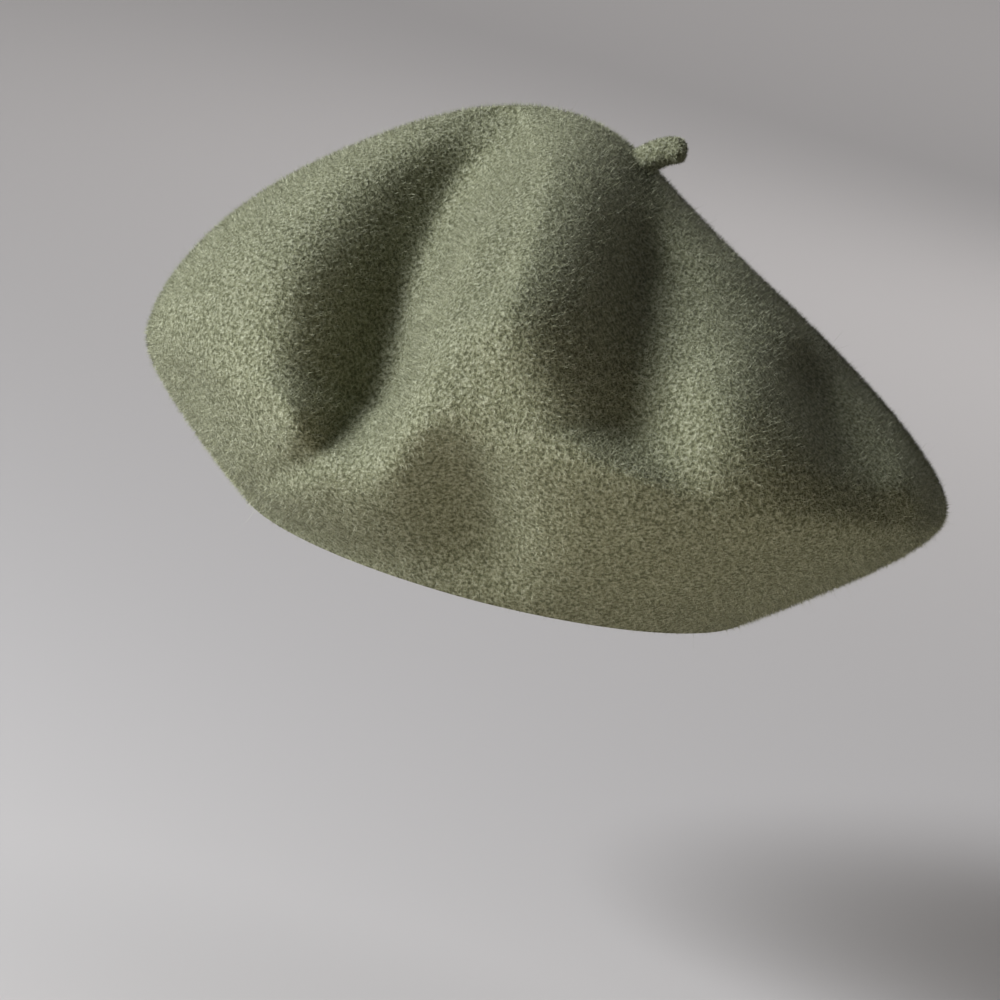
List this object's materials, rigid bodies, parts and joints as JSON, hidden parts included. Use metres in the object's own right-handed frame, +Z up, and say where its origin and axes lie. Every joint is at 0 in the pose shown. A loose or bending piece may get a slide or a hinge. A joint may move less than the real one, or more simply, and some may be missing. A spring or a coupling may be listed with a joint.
{
  "type": "beret",
  "caption": "Soft seamless felted-wool beret with a full draped crown, a ribbon sweatband inside the head opening and a short felted stalk on top.",
  "frame": {"origin": "centre of the head opening, in the plane of the hem's edge", "axes": "+Z up through the crown, along the head opening's axis; +X to the side where the crown is drawn down and the stalk leans; -Y to the front"},
  "size_m": [0.2628, 0.2465, 0.1431],
  "materials": {
    "wool_felt": "fulled wool felt in sage green, with a soft raised nap",
    "grosgrain_ribbon": "ribbed grosgrain ribbon in dark olive",
    "sewing_thread": "matt spun sewing thread in olive",
    "label_satin": "blank woven satin, cream"
  },
  "bodies": {
    "hat": {"felt_body": "wool_felt", "stalk_root_stitches": "sewing_thread", "sweatband": "grosgrain_ribbon", "band_join_patch": "grosgrain_ribbon", "care_label": "label_satin", "hem_stitches": "sewing_thread", "band_join_stitches": "sewing_thread", "care_label_stitches": "sewing_thread"},
    "stalk": {"stalk": "wool_felt"}
  },
  "joints": [
    {"name": "stalk_flex", "type": "hinge", "parent": "hat", "child": "stalk", "pos_m": [0.01672, 0, 0.13569], "axis": [0, 1, 0], "range_deg": [-60, 25], "stiffness_Nm_per_rad": 0.004}
  ]
}
